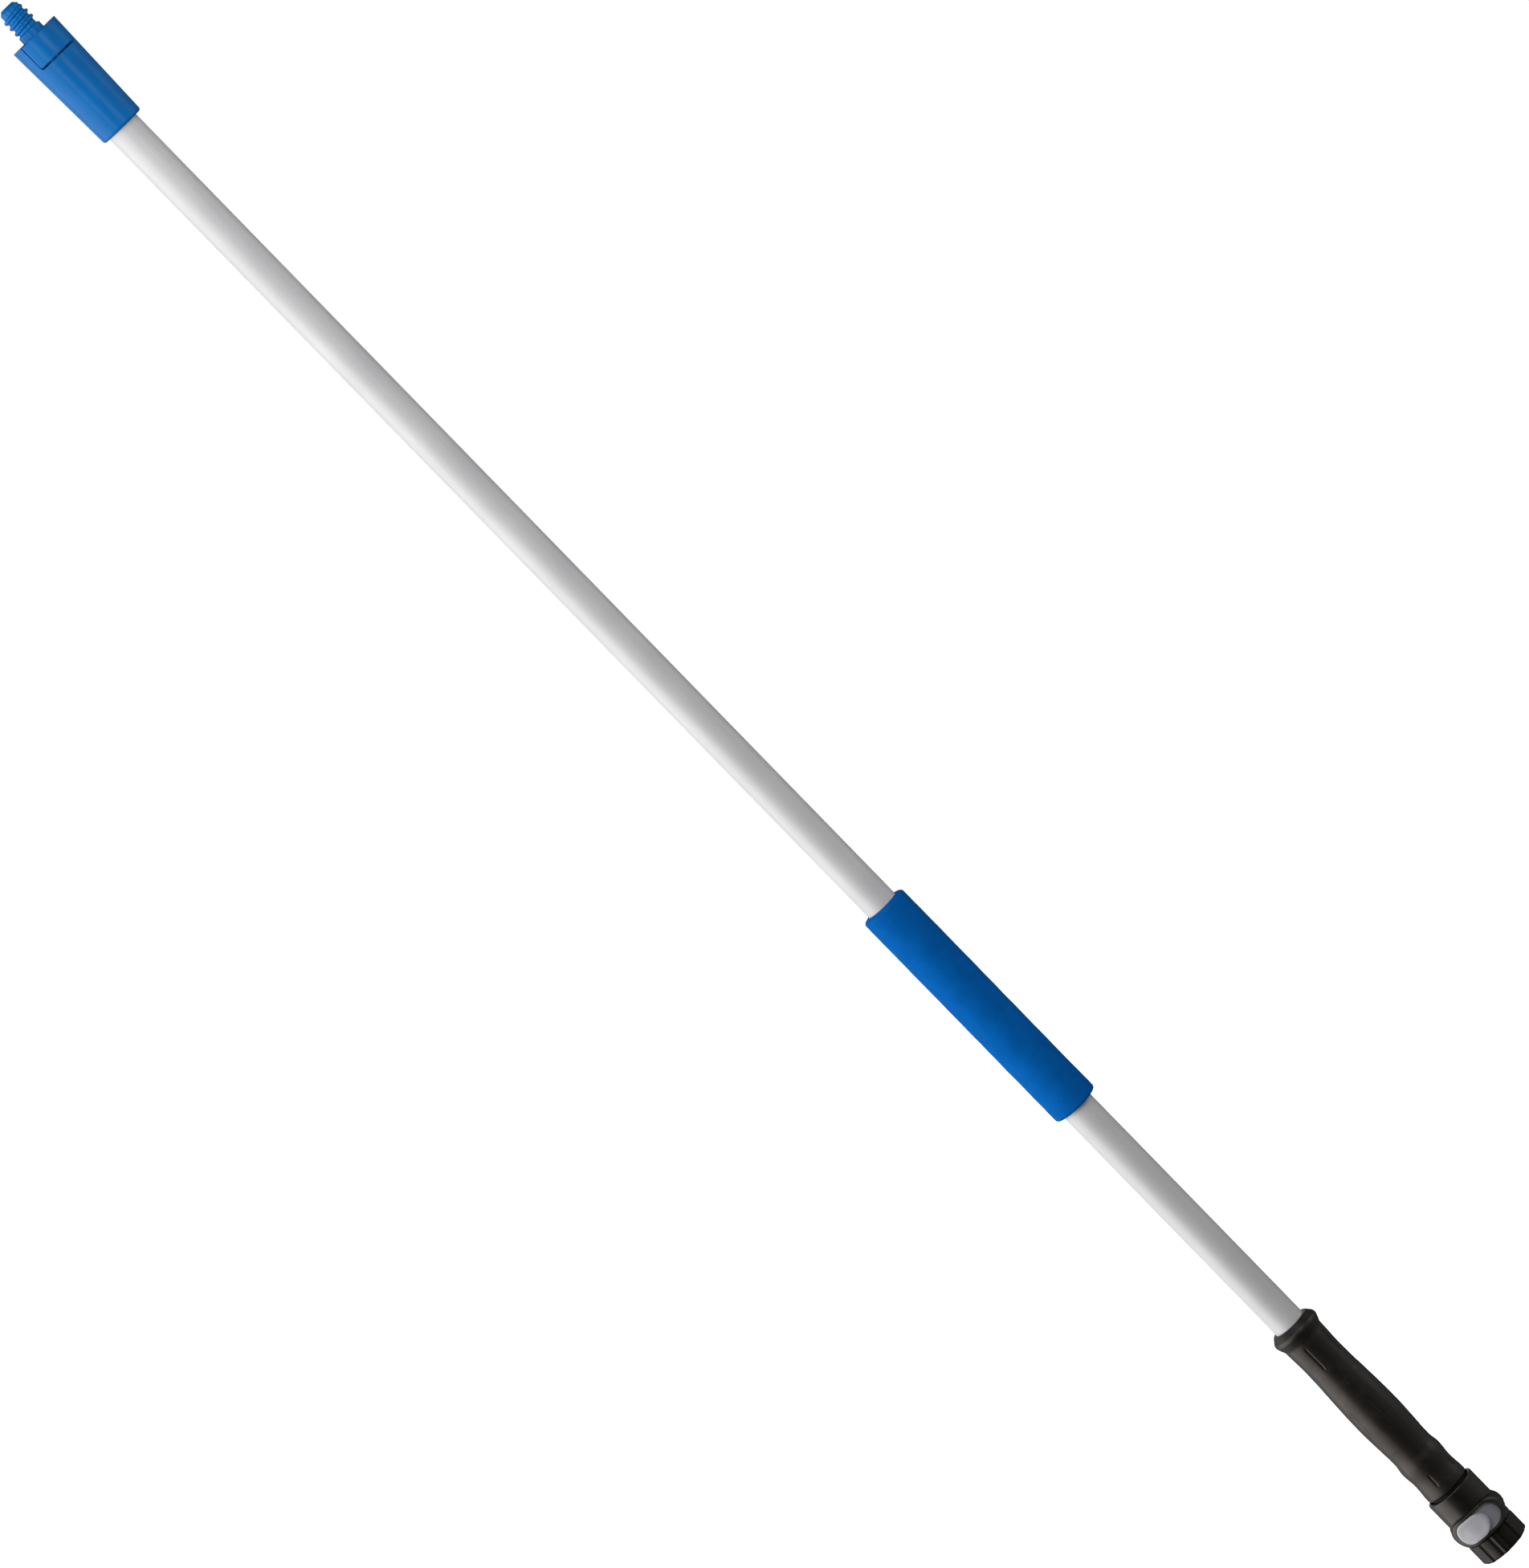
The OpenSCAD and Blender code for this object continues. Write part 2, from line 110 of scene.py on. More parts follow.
def turned(outline, segments=192, start=0.0, sweep=360.0, warp=None):
    """A closed (radius, height) outline turned about Z. warp(r, z, angle) may move each point."""
    full = sweep >= 360
    columns = segments if full else segments + 1
    rows = len(outline)
    verts, faces = [], []
    for i in range(columns):
        a = math.radians(start + sweep * i / segments)
        for r, z in outline:
            if warp:
                r, z = warp(r, z, a)
            verts.append((r * math.cos(a), r * math.sin(a), z))
    for i in range(segments):
        j = (i + 1) % columns
        for k in range(rows):
            m = (k + 1) % rows
            faces.append((i * rows + k, j * rows + k, j * rows + m, i * rows + m))
    if not full:
        faces.append(tuple(range(rows)))
        faces.append(tuple(reversed(range(segments * rows, (segments + 1) * rows))))
    return verts, faces


def stadium(half_w, half_h, steps=28, along=24):
    """Points round a shape with round ends, in order."""
    reach = half_w - half_h
    points = []
    for side, first in ((1, -90), (-1, 90)):
        for k in range(steps + 1):
            a = math.radians(first + 180 * k / steps)
            points.append((side * reach + half_h * math.cos(a), half_h * math.sin(a)))
        points += [(side * reach * (1 - 2 * k / along), side * half_h) for k in range(1, along)]
    return points


def front_loft(levels, z, steps=28):
    """A closed solid through stadium loops at the pole's front, centred at height z.

    Each level is (half width, half height, bend, Y). With a bend the loop lies on a cylinder of that
    radius about the slider's turning axis, and with a bend of 0 it lies in the plane Y.
    """
    verts, faces = [], []
    for half_w, half_h, bend, y in levels:
        for px, pz in stadium(half_w, half_h, steps):
            verts.append((px, bend_y - math.sqrt(bend * bend - px * px) if bend else y, z + pz))
    n = len(verts) // len(levels)
    for i in range(len(levels) - 1):
        for k in range(n):
            m = (k + 1) % n
            faces.append((i * n + k, i * n + m, (i + 1) * n + m, (i + 1) * n + k))
    # Both caps are ladders of quads, which start in the middle of the loop's first round end.
    first = steps // 2
    for base, turn in ((0, -1), ((len(levels) - 1) * n, 1)):
        for k in range(n // 2):
            ahead = [(first + k) % n, (first + k + 1) % n]
            back = [(first - k - 1) % n, (first - k) % n]
            face = [base + i for i in dict.fromkeys(ahead + back)]
            if len(face) > 2:
                faces.append(tuple(face[::turn]))
    return verts, faces


def swung(shape, degrees):
    """The shape turned about the slider's turning axis."""
    c, s = math.cos(math.radians(degrees)), math.sin(math.radians(degrees))
    verts, faces = shape
    return [(x * c - (y - bend_y) * s, bend_y + x * s + (y - bend_y) * c, z) for x, y, z in verts], faces


def block(x0, x1, y0, y1, z0, z1):
    verts = [(x, y, z) for y in (y0, y1) for x, z in ((x0, z0), (x1, z0), (x1, z1), (x0, z1))]
    return verts, [(0, 1, 2, 3), (7, 6, 5, 4), (0, 4, 5, 1), (1, 5, 6, 2), (2, 6, 7, 3), (3, 7, 4, 0)]


def welded(mesh, reach):
    """The mesh with points closer than reach merged, and with the slivers between them gone."""
    bm = bmesh.new()
    bm.from_mesh(mesh)
    bmesh.ops.remove_doubles(bm, verts=bm.verts, dist=reach)
    bmesh.ops.dissolve_degenerate(bm, edges=bm.edges, dist=reach)
    bmesh.ops.recalc_face_normals(bm, faces=bm.faces)
    bm.to_mesh(mesh)
    bm.free()
    return mesh


def to_mesh(name, shape):
    """A Blender mesh, in metres, with its normals turned outward."""
    verts, faces = shape
    mesh = bpy.data.meshes.new(name)
    mesh.from_pydata([Vector(v) * MM for v in verts], [], faces)
    return welded(mesh, 1e-7)


def joined(*shapes):
    """Several shapes as one."""
    verts, faces = [], []
    for v, f in shapes:
        faces += [tuple(i + len(verts) for i in face) for face in f]
        verts += v
    return verts, faces


def link(obj):
    bpy.context.scene.collection.objects.link(obj)
    return obj


def apply_modifiers(obj):
    """Keeps the mesh that the object's modifiers make, and takes the modifiers off."""
    evaluated = obj.evaluated_get(bpy.context.evaluated_depsgraph_get())
    mesh = bpy.data.meshes.new_from_object(evaluated)
    obj.modifiers.clear()
    obj.data = welded(mesh, 2e-6)


def boolean(obj, shape, operation):
    """Joins a shape to the object, or cuts it away, and keeps the result."""
    other = link(bpy.data.objects.new("tool", to_mesh("tool", shape)))
    step = obj.modifiers.new("boolean", "BOOLEAN")
    step.operation, step.solver, step.object = operation, "EXACT", other
    apply_modifiers(obj)
    bpy.data.objects.remove(other)


def piece(name, shape, body, nodes, material, tools=(), bevel=0.0, sharp=SMOOTH):
    """A finished piece: mesh, cuts, soft edges, shading, material, body and the CAD nodes it replaces."""
    obj = link(bpy.data.objects.new(name, to_mesh(name, shape)))
    for operation, tool in tools:
        boolean(obj, tool, operation)
    if bevel:
        soft = obj.modifiers.new("bevel", "BEVEL")
        soft.width, soft.segments, soft.limit_method = bevel * MM, 3, "ANGLE"
        soft.angle_limit, soft.use_clamp_overlap, soft.harden_normals = math.radians(40), True, False
        apply_modifiers(obj)
    obj.data.shade_smooth()
    obj.data.set_sharp_from_angle(angle=sharp)
    weighted = obj.modifiers.new("weighted", "WEIGHTED_NORMAL")
    weighted.keep_sharp = True
    obj.data.materials.clear()
    obj.data.materials.append(material)
    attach(obj, body)
    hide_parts(*nodes)


# ---------------------------------------------------------------- materials

def add_node(tree, kind, inputs=None, **settings):
    """A shader node with its settings, and its inputs set to values or wired to sockets."""
    node = tree.nodes.new("ShaderNode" + kind)
    for key, value in settings.items():
        setattr(node, key, value)
    for key, value in (inputs or {}).items():
        if isinstance(value, bpy.types.NodeSocket):
            tree.links.new(value, node.inputs[key])
        else:
            node.inputs[key].default_value = value
    return node


class Graph:
    """A material's node graph, built by calls that return sockets."""

    def __init__(self, name):
        self.material = bpy.data.materials.new(name)
        self.material.use_nodes = True
        self.tree = self.material.node_tree
        self.tree.nodes.clear()
        self.place = self.add("TexCoord").outputs["Object"]

    def add(self, kind, inputs=None, **settings):
        return add_node(self.tree, kind, inputs, **settings)

    def math(self, operation, *values):
        return self.add("Math", dict(enumerate(values)), operation=operation).outputs[0]

    def noise(self, size_mm, detail=3.0, rough=0.5, stretch=(1, 1, 1), warp=0.0):
        """Noise whose features are about size_mm across, longer along an axis with a stretch above 1."""
        scaled = self.add("Mapping", {"Vector": self.place, "Scale": [1000 / size_mm / s for s in stretch]})
        return self.add("TexNoise", {"Vector": scaled.outputs[0], "Scale": 1.0, "Detail": detail,
                                     "Roughness": rough, "Distortion": warp}).outputs["Fac"]

    def cells(self, size_mm):
        """Distance to the middle of the nearest cell, for cells about size_mm across."""
        scaled = self.add("Mapping", {"Vector": self.place, "Scale": [1000 / size_mm] * 3})
        return self.add("TexVoronoi", {"Vector": scaled.outputs[0], "Scale": 1.0}).outputs["Distance"]

    def spread(self, value, low, high, to_low=0.0, to_high=1.0):
        """value from low..high mapped to to_low..to_high, and held there outside."""
        return self.add("MapRange", {"Value": value, "From Min": low, "From Max": high, "To Min": to_low,
                                     "To Max": to_high}).outputs[0]

    def blend(self, amount, a, b):
        """Colour a turning into colour b as amount goes from 0 to 1."""
        return self.add("Mix", {0: amount, 6: a, 7: b}, data_type="RGBA").outputs[2]

    def bump(self, height, depth_mm, normal=None):
        inputs = {"Height": height, "Distance": depth_mm * MM, "Strength": 1.0}
        if normal is not None:
            inputs["Normal"] = normal
        return self.add("Bump", inputs).outputs[0]

    def edges(self, radius_mm):
        """0 on open faces, rising towards 1 along edges."""
        soft = self.add("Bevel", {"Radius": radius_mm * MM}, samples=6).outputs[0]
        plain = self.add("NewGeometry").outputs["Normal"]
        dot = self.add("VectorMath", {0: soft, 1: plain}, operation="DOT_PRODUCT").outputs["Value"]
        return self.spread(dot, 0.995, 0.8)

    def finish(self, color, roughness, normal, **extra):
        inputs = {"Base Color": color, "Roughness": roughness, "Normal": normal}
        inputs.update({key.replace("_", " "): value for key, value in extra.items()})
        shader = self.add("BsdfPrincipled", inputs)
        self.add("OutputMaterial", {"Surface": shader.outputs[0]})
        return self.material


def rgb(r, g, b):
    return (r, g, b, 1.0)


WARM = rgb(1.0, 0.92, 0.86)


def moulded(name, base, dark, light, roughness, grain_mm, grain_depth, wear, flow, specular=0.5,
            sheen=rgb(1, 1, 1)):
    """Moulded plastic: fine spark-eroded grain, flow marks, scuffs and rubbed edges."""
    g = Graph(name)
    cloud = g.spread(g.noise(22, 4, 0.55), 0.32, 0.68)
    color = g.blend(cloud, dark, base)
    streaks = g.spread(g.noise(5, 4, 0.6, stretch=(1, 1, 7), warp=0.3), 0.5, 0.75, 0.0, flow)
    color = g.blend(streaks, color, light)
    edge = g.math("MULTIPLY", g.edges(0.5), g.spread(g.noise(2.2, 3), 0.35, 0.65, 0.3, 1.0))
    color = g.blend(g.math("MULTIPLY", edge, wear), color, light)
    scratches = g.spread(g.noise(1.1, 5, 0.7, stretch=(1, 1, 16), warp=0.6), 0.62, 0.74)
    rough = g.math("ADD", g.spread(g.noise(9, 5, 0.6), 0.3, 0.7, roughness - 0.06, roughness + 0.07),
                   g.math("MULTIPLY", scratches, 0.075))
    rough = g.math("SUBTRACT", rough, g.math("MULTIPLY", edge, 0.08))
    grain = g.bump(g.noise(grain_mm, 2, 0.6), grain_depth)
    fine = g.bump(scratches, -0.004, g.bump(g.noise(7, 2), 0.02, grain))
    return g.finish(color, rough, fine, IOR=1.48, Specular_IOR_Level=specular, Specular_Tint=sheen)


def aluminium_tube():
    """Drawn aluminium: fine lengthwise lines, soft cloudy oxide, a few scratches and hand marks."""
    g = Graph("drawn_aluminium")
    lines = g.noise(0.35, 3, 0.65, stretch=(1, 1, 160))
    bands = g.noise(3.2, 2, 0.5, stretch=(1, 1, 60))
    cloud = g.noise(38, 4, 0.55)
    color = g.blend(g.spread(cloud, 0.3, 0.7), rgb(0.565, 0.565, 0.58), rgb(0.615, 0.615, 0.625))
    color = g.blend(g.spread(lines, 0.35, 0.7, 0.0, 0.35), color, rgb(0.49, 0.49, 0.505))
    scratches = g.spread(g.noise(0.8, 4, 0.7, stretch=(1, 1, 26), warp=0.8), 0.66, 0.74)
    color = g.blend(g.math("MULTIPLY", scratches, 0.3), color, rgb(0.97, 0.97, 0.98))
    smudge = g.spread(g.noise(16, 5, 0.65, warp=0.7), 0.52, 0.72)
    rough = g.math("ADD", g.spread(bands, 0.3, 0.7, 0.44, 0.54), g.math("MULTIPLY", smudge, 0.06))
    normal = g.bump(lines, 0.006, g.bump(bands, 0.01))
    return g.finish(color, rough, normal, Metallic=0.1, Specular_IOR_Level=0.25, Anisotropic=0.25)


def sleeve_foam():
    """Closed-cell foam with a soft skin: pores darkened with painted shade, a faint nap and slightly paler,
    rubbed high spots.
    """
    g = Graph("sleeve_foam")
    pores = g.cells(0.75)
    nap = g.noise(0.5, 3, 0.7)
    cloud = g.noise(14, 4, 0.6)
    color = g.blend(g.spread(cloud, 0.3, 0.7), rgb(0.0, 0.094, 0.365), rgb(0.0, 0.114, 0.44))
    # Painted shade: the pits of the pores are darkened, as if shade fell into them.
    color = g.blend(g.spread(pores, 0.1, 0.32, 0.4, 0.0), color, rgb(0.0, 0.055, 0.22))
    rubbed = g.spread(g.noise(30, 3, 0.5, stretch=(1, 1, 2)), 0.52, 0.7, 0.0, 0.3)
    color = g.blend(rubbed, color, rgb(0.001, 0.15, 0.49))
    rough = g.spread(nap, 0.3, 0.7, 0.78, 0.94)
    normal = g.bump(pores, 0.07, g.bump(nap, 0.05, g.bump(g.noise(5, 2), 0.08)))
    return g.finish(color, rough, normal, IOR=1.4, Specular_IOR_Level=0.06)


def grip_rubber():
    """Soft-touch rubber: fine matt grain, a dusty bloom, and skin polished where hands hold it."""
    g = Graph("grip_rubber")
    cloud = g.noise(18, 4, 0.6)
    color = g.blend(g.spread(cloud, 0.3, 0.7), rgb(0.0025, 0.0024, 0.0022), rgb(0.0048, 0.0045, 0.0042))
    dust = g.math("MULTIPLY", g.spread(g.noise(6, 5, 0.7, warp=0.5), 0.54, 0.74),
                  g.spread(g.noise(0.9, 2), 0.4, 0.7, 0.2, 1.0))
    color = g.blend(g.math("MULTIPLY", dust, 0.35), color, rgb(0.045, 0.041, 0.036))
    edge = g.edges(0.5)
    color = g.blend(g.math("MULTIPLY", edge, 0.4), color, rgb(0.03, 0.028, 0.025))
    rough = g.math("ADD", g.spread(g.noise(11, 4), 0.3, 0.7, 0.38, 0.48), g.math("MULTIPLY", dust, 0.2))
    normal = g.bump(g.noise(0.6, 2, 0.6), 0.03, g.bump(g.noise(5, 3), 0.05))
    return g.finish(color, rough, normal, IOR=1.5, Specular_IOR_Level=0.46, Specular_Tint=WARM)


def seal_rubber():
    g = Graph("seal_rubber")
    color = g.blend(g.spread(g.noise(3, 4), 0.3, 0.7), rgb(0.008, 0.008, 0.008), rgb(0.022, 0.022, 0.021))
    rough = g.spread(g.noise(1.4, 3), 0.3, 0.7, 0.5, 0.66)
    return g.finish(color, rough, g.bump(g.noise(0.5, 2), 0.02), Specular_IOR_Level=0.4)


BLUE = moulded("blue_tip", rgb(0.0, 0.138, 0.435), rgb(0.0, 0.12, 0.39), rgb(0.003, 0.195, 0.55),
               0.34, 0.8, 0.007, wear=0.4, flow=0.12, specular=0.13)
BLACK = moulded("black_body", rgb(0.0042, 0.0041, 0.0039), rgb(0.003, 0.003, 0.0028), rgb(0.03, 0.028, 0.025),
                0.36, 0.5, 0.02, wear=0.5, flow=0.1, sheen=WARM)
NUT = moulded("black_nut", rgb(0.0042, 0.0041, 0.0038), rgb(0.003, 0.003, 0.0027), rgb(0.03, 0.028, 0.024),
              0.36, 0.5, 0.018, wear=0.6, flow=0.12, specular=0.3, sheen=WARM)
PAD = moulded("grey_pad", rgb(0.42, 0.42, 0.45), rgb(0.37, 0.37, 0.4), rgb(0.58, 0.58, 0.61),
              0.5, 0.45, 0.03, wear=0.5, flow=0.15)
# The track's grey is a darker copy of the pad's grey: painted shade for the recess that the pad sits in.
TRACK_SHADED_GREY = moulded("grey_track", rgb(0.26, 0.262, 0.29), rgb(0.22, 0.222, 0.25), rgb(0.36, 0.36, 0.385),
                0.52, 0.45, 0.03, wear=0.4, flow=0.1)
NATURAL = moulded("natural_acetal", rgb(0.66, 0.64, 0.58), rgb(0.58, 0.56, 0.5), rgb(0.8, 0.79, 0.74),
                  0.4, 0.6, 0.01, wear=0.3, flow=0.15)
WHITE = moulded("white_acetal", rgb(0.74, 0.74, 0.72), rgb(0.66, 0.66, 0.64), rgb(0.86, 0.86, 0.85),
                0.22, 0.8, 0.004, wear=0.2, flow=0.1)
RUBBER = seal_rubber()
GRIP = grip_rubber()
FOAM = sleeve_foam()
ALUMINIUM = aluminium_tube()

NODE_MATERIALS = {
    "screw_tip": BLUE, "tip_socket": BLUE, "pole_tube": ALUMINIUM, "foam_sleeve": FOAM, "grip": GRIP,
    "valve_body": BLACK, "tailpiece": BLACK, "hose_nut": NUT, "thumb_slider": PAD, "slider_track": TRACK_SHADED_GREY,
    "slider_fork": NATURAL, "valve_stem": NATURAL, "inlet_screen": NATURAL, "valve_ball": WHITE,
    "ball_seats": WHITE, "tip_seal": RUBBER, "socket_seal": RUBBER, "tube_seal": RUBBER, "stem_seal": RUBBER,
    "tailpiece_seal": RUBBER, "hose_washer": RUBBER,
}
for node_name, node_object in frame["nodes"].items():
    node_object.data.materials.clear()
    node_object.data.materials.append(NODE_MATERIALS[node_name])


# ---------------------------------------------------------------- screw tip and socket

mounts = {m["name"]: m for m in frame["record"]["mounts"]}
swing = next(j for j in frame["record"]["behaviour"]["joints"] if j["name"] == "slider_swing")
bend_y = swing["pos_m"][1] / MM
half_swing = swing["range_deg"][1] / 2
neck = mounts["screw_tip"]
stud_r = neck["dims"]["r_mm"]
collar_z = neck["pos_m"][2] / MM - neck["dims"]["length_mm"] / 2
neck_top = collar_z + neck["dims"]["length_mm"]
tip_lo, tip_hi = box_mm("screw_tip")
socket_lo, socket_hi = box_mm("tip_socket")
rim_r = -socket_lo.x                      # the collar's rim, at its top
foot_r = rim_r - 2.2                      # the socket's lower end
COLLAR_H, TONGUE_DROP = 22.2, 0.8
step_z = collar_z - COLLAR_H
tongue_top = collar_z - TONGUE_DROP
TONGUE, SHARE = -70.0, 110.0              # the front tongue's direction and its angle round the collar
ROOT_R, PITCH = stud_r - 1.75, 5.08       # the stud's thread
CORE_R, SPIGOT_R, WATER_R = 12.1, 8.95, 3.0
GLUE_R = 12.75                            # the recesses that hold the tube's ends


def taper(z):
    """The collar's radius at a height."""
    return foot_r + (rim_r - foot_r) * (z - socket_lo.z) / (socket_hi.z - socket_lo.z)


def thread(r, z, angle):
    """Adds the moulded right-hand thread to a point on the stud's core."""
    if r < ROOT_R - 2 or z < neck_top - 0.3 or z > tip_hi.z - 2.2:
        return r, z
    first = neck_top + 1.2
    turns = (z - first) / PITCH - (math.degrees(angle) - 10) / 360
    off = (turns - round(turns)) * PITCH
    along = round(turns) + (math.degrees(angle) - 10) / 360
    fade = smoothstep(-0.02, 0.28, along) * smoothstep(3.12, 2.85, along)
    crest = 1 - smoothstep(0.62, 1.85, abs(off))
    return max(r, ROOT_R + (stud_r - ROOT_R) * crest * fade), z


top = tip_hi.z
stud_outline = denser(rounded([
    (WATER_R, tip_lo.z, 0), (SPIGOT_R - 0.6, tip_lo.z, 0), (SPIGOT_R, tip_lo.z + 0.6, 0),
    (SPIGOT_R, step_z + 0.2, 0), (CORE_R, step_z + 0.2, 0), (CORE_R, tongue_top, 0.3),
    (stud_r + 0.3, tongue_top, 0.3), (stud_r, collar_z + 0.6, 0.6), (stud_r, neck_top, 0.5),
    (ROOT_R, neck_top + 0.9, 0.4), (ROOT_R, top - 2.7, 0.8), (5.2, top, 0.6), (3.7, top, 0.25),
    (WATER_R, top - 0.8, 0.2),
]), 0.28)
piece("tip_stud", turned(stud_outline, 144, warp=thread), "pole", ["screw_tip"], BLUE)

CORNER, GAP = 1.5, 1.0                    # the seam round a tongue: its corner's radius, and its width
tongue_z = step_z + 1.5
half_gap = math.degrees(math.asin(GAP / rim_r))


def round_corners(begin, sweep, floor_z, radius, reach):
    """A warp that lifts the lower corners at both ends of a wall, so that they are seen as round."""

    def warp(r, z, angle):
        a = (math.degrees(angle) - begin + 5) % 360 - 5
        distance = math.radians(max(0.0, min(a, sweep - a))) * rim_r
        if distance >= radius or z > floor_z + reach:
            return r, z
        return r, z + radius - math.sqrt(max(0.0, radius ** 2 - (radius - distance) ** 2))

    return warp


tongue_outline = denser(rounded([
    (CORE_R - 0.5, tongue_z, 0), (taper(tongue_z) + 0.4, tongue_z, 0.35),
    (taper(tongue_top), tongue_top, 0.4), (CORE_R - 0.5, tongue_top, 0),
]), 2.2)
notch_outline = [(CORE_R - 0.9, step_z), (rim_r + 3, step_z), (rim_r + 3, collar_z + 2),
                 (CORE_R - 0.9, collar_z + 2)]
notches = []
for label, facing in (("front", TONGUE), ("back", TONGUE + 180)):
    begin = facing - SHARE / 2
    tongue_begin, tongue_sweep = begin + half_gap, SHARE - 2 * half_gap
    tongue_warp = round_corners(tongue_begin, tongue_sweep, tongue_z, CORNER, 2.0)
    piece("tip_tongue_" + label, turned(tongue_outline, 110, tongue_begin, tongue_sweep, tongue_warp),
          "pole", ["screw_tip"], BLUE, bevel=0.22)
    notch_warp = round_corners(begin, SHARE, step_z, CORNER + 0.4, 0.5)
    notches.append(("DIFFERENCE", turned(notch_outline, 100, begin, SHARE, notch_warp)))

SOCKET_BORE_R = 9.0
socket_outline = rounded([
    (SOCKET_BORE_R, step_z - 12, 0), (GLUE_R, step_z - 12.6, 0), (GLUE_R, socket_lo.z + 0.5, 0),
    (13.3, socket_lo.z, 0.2), (taper(socket_lo.z + 2.2), socket_lo.z, 2.2), (rim_r, collar_z, 0.35),
    (CORE_R + 0.1, collar_z, 0.2), (CORE_R + 0.1, step_z, 0), (SOCKET_BORE_R, step_z, 0),
], 8)
piece("tip_socket_shell", turned(socket_outline, 200), "pole", ["tip_socket"], BLUE,
      tools=notches, bevel=0.22)


# ---------------------------------------------------------------- tube, sleeve and grip

tube_lo, tube_hi = box_mm("pole_tube")
tube_r = tube_hi.x
tube_bore_r = tube_r - 1.25
tube_outline = denser(rounded([
    (tube_bore_r, tube_lo.z, 0.2), (tube_r, tube_lo.z, 0.25), (tube_r, tube_hi.z, 0.25),
    (tube_bore_r, tube_hi.z, 0.2),
]), 40)
piece("tube", turned(tube_outline, 224), "pole", ["pole_tube"], ALUMINIUM)

foam_lo, foam_hi = box_mm("foam_sleeve")
foam_r = foam_hi.x


def foam_warp(r, z, angle):
    """Gives the foam its slightly uneven skin, and closes its ends softly on the tube."""
    if r < tube_r + 0.6:
        return r, z
    p = Vector((math.cos(angle) * 18, math.sin(angle) * 18, z))
    uneven = (noise.noise(p / 14) * 0.16 + noise.noise(p / 5 + Vector((7, 3, 1))) * 0.07
              + noise.noise(p / 1.7) * 0.03)
    share = smoothstep(tube_r + 0.6, foam_r - 1.5, r)
    inward = 1 if z < foam_lo.z + 3 else -1 if z > foam_hi.z - 3 else 0
    z += noise.noise(p.xy.to_3d() / 6) * 0.175 * share * inward
    return r + (uneven - 0.22) * share, min(max(z, foam_lo.z), foam_hi.z)


foam_outline = denser(rounded([
    (tube_r + 0.05, foam_lo.z + 0.5, 0.2), (tube_r + 0.8, foam_lo.z, 0.5), (foam_r, foam_lo.z + 1, 2.4),
    (foam_r, foam_hi.z - 1.8, 2.6), (tube_r + 0.8, foam_hi.z - 0.2, 0.5),
    (tube_r + 0.05, foam_hi.z - 0.6, 0.15),
], 7), 1.6)
piece("foam_sleeve_skin", turned(foam_outline, 176, warp=foam_warp), "pole", ["foam_sleeve"],
      FOAM, sharp=math.radians(60))

grip_lo, grip_hi = box_mm("grip")
body_lo, body_hi = box_mm("valve_body")
cup_top = grip_lo.z + 4.9                 # the body's cup rim, which the grip starts just below
flare_r = grip_hi.x
FLARE_H = 159.1
# The grip's waves: the radius at its narrow and wide places, by height above the cup's rim.
STATIONS = [(3.4, 17.8), (17.1, 17.0), (29.4, 17.85), (38.6, 16.8), (74.6, 17.95), (132.6, 16.4),
            (151.1, 16.95), (FLARE_H, flare_r)]


def grip_radius(h):
    for (h0, r0), (h1, r1) in zip(STATIONS, STATIONS[1:]):
        if h <= h1:
            return r0 + (r1 - r0) * (1 - math.cos(math.pi * max(0.0, (h - h0) / (h1 - h0)))) / 2
    return STATIONS[-1][1]


# Shallow lengthwise slots: (lowest, highest, first direction, how many round, depth).
SLOTS = [(126, 149, -99.4, 5, 0.55), (8.6, 21, -99.4, 5, 0.6), (67, 93, -131, 6, 0.3)]


def grip_warp(r, z, angle):
    """Sinks the slots and the two slightly narrower bands into the grip's wall."""
    h = z - cup_top
    if h < 1 or h > 158 or r < 15.5:
        return r, z
    for low, high, first, count, depth in SLOTS:
        if low - 2 < h < high + 2:
            off = ((math.degrees(angle) - first + 180 / count) % (360 / count)) - 180 / count
            across = math.radians(off) * r
            along = smoothstep(low, low + 3, h) * smoothstep(high, high - 3, h)
            r -= depth * (1 - smoothstep(0.35, 1.25, abs(across))) * along
    r -= 0.13 * smoothstep(112.5, 113.3, h) + 0.1 * smoothstep(48.1, 47.3, h)
    return r, z


FOOT_R, GRIP_BORE_R = 2.5, 14.65          # the grip's rounded foot, and its bore over the body's neck
foot_arc = [math.radians(a) for a in range(-75, 0, 10)]
foot = [(15.3 + FOOT_R * math.cos(a), cup_top + 3.1 + FOOT_R * math.sin(a)) for a in foot_arc]
side = [(grip_radius(3.4 + i * 0.6), cup_top + 3.4 + i * 0.6) for i in range(1, 253)]
crown = rounded([
    (grip_radius(155.3), cup_top + 155.3, 0), (flare_r, cup_top + FLARE_H, 3.4),
    (flare_r - 0.5, cup_top + 161.5, 3.0), (tube_r + 2.6, grip_hi.z, 1.6), (tube_r + 0.5, grip_hi.z, 0.35),
    (tube_r + 0.05, grip_hi.z - 0.8, 0.2), (tube_r + 0.05, grip_hi.z - 60, 0),
], 6)
grip_outline = (
    [(GRIP_BORE_R, grip_lo.z), (15.9, grip_lo.z), (15.9, cup_top + 0.6)] + foot + side + crown
    + [(tube_r + 0.05, cup_top + 35), (GRIP_BORE_R, cup_top + 35)]
)
piece("grip_skin", turned(grip_outline, 360, warp=grip_warp), "pole", ["grip"], GRIP,
      sharp=math.radians(50))


# ---------------------------------------------------------------- valve body, track and thumb pad

